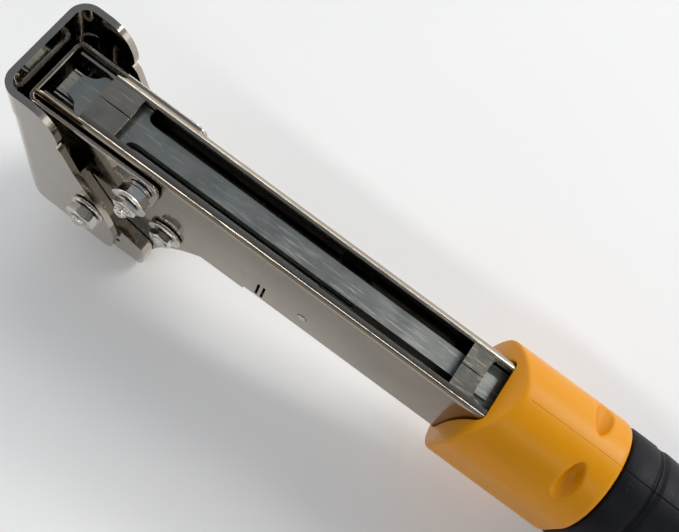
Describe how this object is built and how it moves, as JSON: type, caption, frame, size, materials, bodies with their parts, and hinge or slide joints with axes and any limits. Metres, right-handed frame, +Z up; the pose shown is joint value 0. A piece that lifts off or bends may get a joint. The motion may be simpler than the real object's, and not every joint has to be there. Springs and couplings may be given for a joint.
{
  "type": "staple gun",
  "caption": "Hammer tacker staple gun lying on its back: chromed steel head and magazine channel, sprung striking foot, moulded collar and rubber grip.",
  "frame": {"origin": "under the middle of the tool, on the surface that it lies on with its staple side up", "axes": "+X from the head along the handle to the butt, +Z up, out of the staple side, +Y to the tool's other flank"},
  "size_m": [0.343, 0.054, 0.0898],
  "materials": {
    "chrome_steel": "polished nickel-chrome plate with fine scratches",
    "plain_steel": "plain pressed steel, lightly scratched",
    "fastener_steel": "bright zinc-plated steel",
    "spring_steel": "drawn spring wire",
    "staple_wire": "galvanised flat wire",
    "yellow_plastic": "moulded, satin",
    "black_rubber": "moulded, satin"
  },
  "bodies": {
    "housing": {"housing": "chrome_steel", "nose_strap": "chrome_steel", "head_weight": "chrome_steel", "driver_blade": "plain_steel", "handle_tang": "plain_steel", "impact_block": "plain_steel", "strap_stud": "fastener_steel", "strap_nut": "fastener_steel", "strap_lock_nut": "fastener_steel", "strap_washer": "fastener_steel", "strap_rivet": "fastener_steel", "block_pin_front": "fastener_steel", "block_pin_rear": "fastener_steel", "frame_bolt": "fastener_steel", "frame_nut_left": "fastener_steel", "frame_nut_right": "fastener_steel", "frame_washer_left": "fastener_steel", "frame_washer_right": "fastener_steel", "housing_rivet": "fastener_steel", "hinge_pin": "fastener_steel", "tang_pin": "fastener_steel", "end_screw": "fastener_steel", "return_spring": "spring_steel", "collar": "yellow_plastic", "grip_sleeve": "black_rubber", "grip_end_cap": "black_rubber"},
    "foot": {"foot_shell": "chrome_steel", "foot_link_pin": "fastener_steel", "foot_stud_left": "fastener_steel", "foot_stud_right": "fastener_steel", "foot_nut_left": "fastener_steel", "foot_nut_right": "fastener_steel", "foot_washer_left": "fastener_steel", "foot_washer_right": "fastener_steel", "magazine_channel": "plain_steel", "magazine_rail": "plain_steel", "magazine_end_block": "plain_steel", "staple_strip": "staple_wire", "pusher_spring": "spring_steel"},
    "pusher": {"pusher": "plain_steel"}
  },
  "joints": [
    {"name": "strike_travel", "type": "hinge", "parent": "housing", "child": "foot", "pos_m": [0.0125, 0, 0.0665], "axis": [0, -1, 0], "range_deg": [0, 2.8], "stiffness_Nm_per_rad": 20, "springref_deg": -5.73, "deforming": ["return_spring"]},
    {"name": "pusher_slide", "type": "slide", "parent": "foot", "child": "pusher", "axis": [1, 0, 0], "range_m": [0, 0.026], "stiffness_N_per_m": 60, "springref_m": -0.05, "deforming": ["pusher_spring"]}
  ]
}
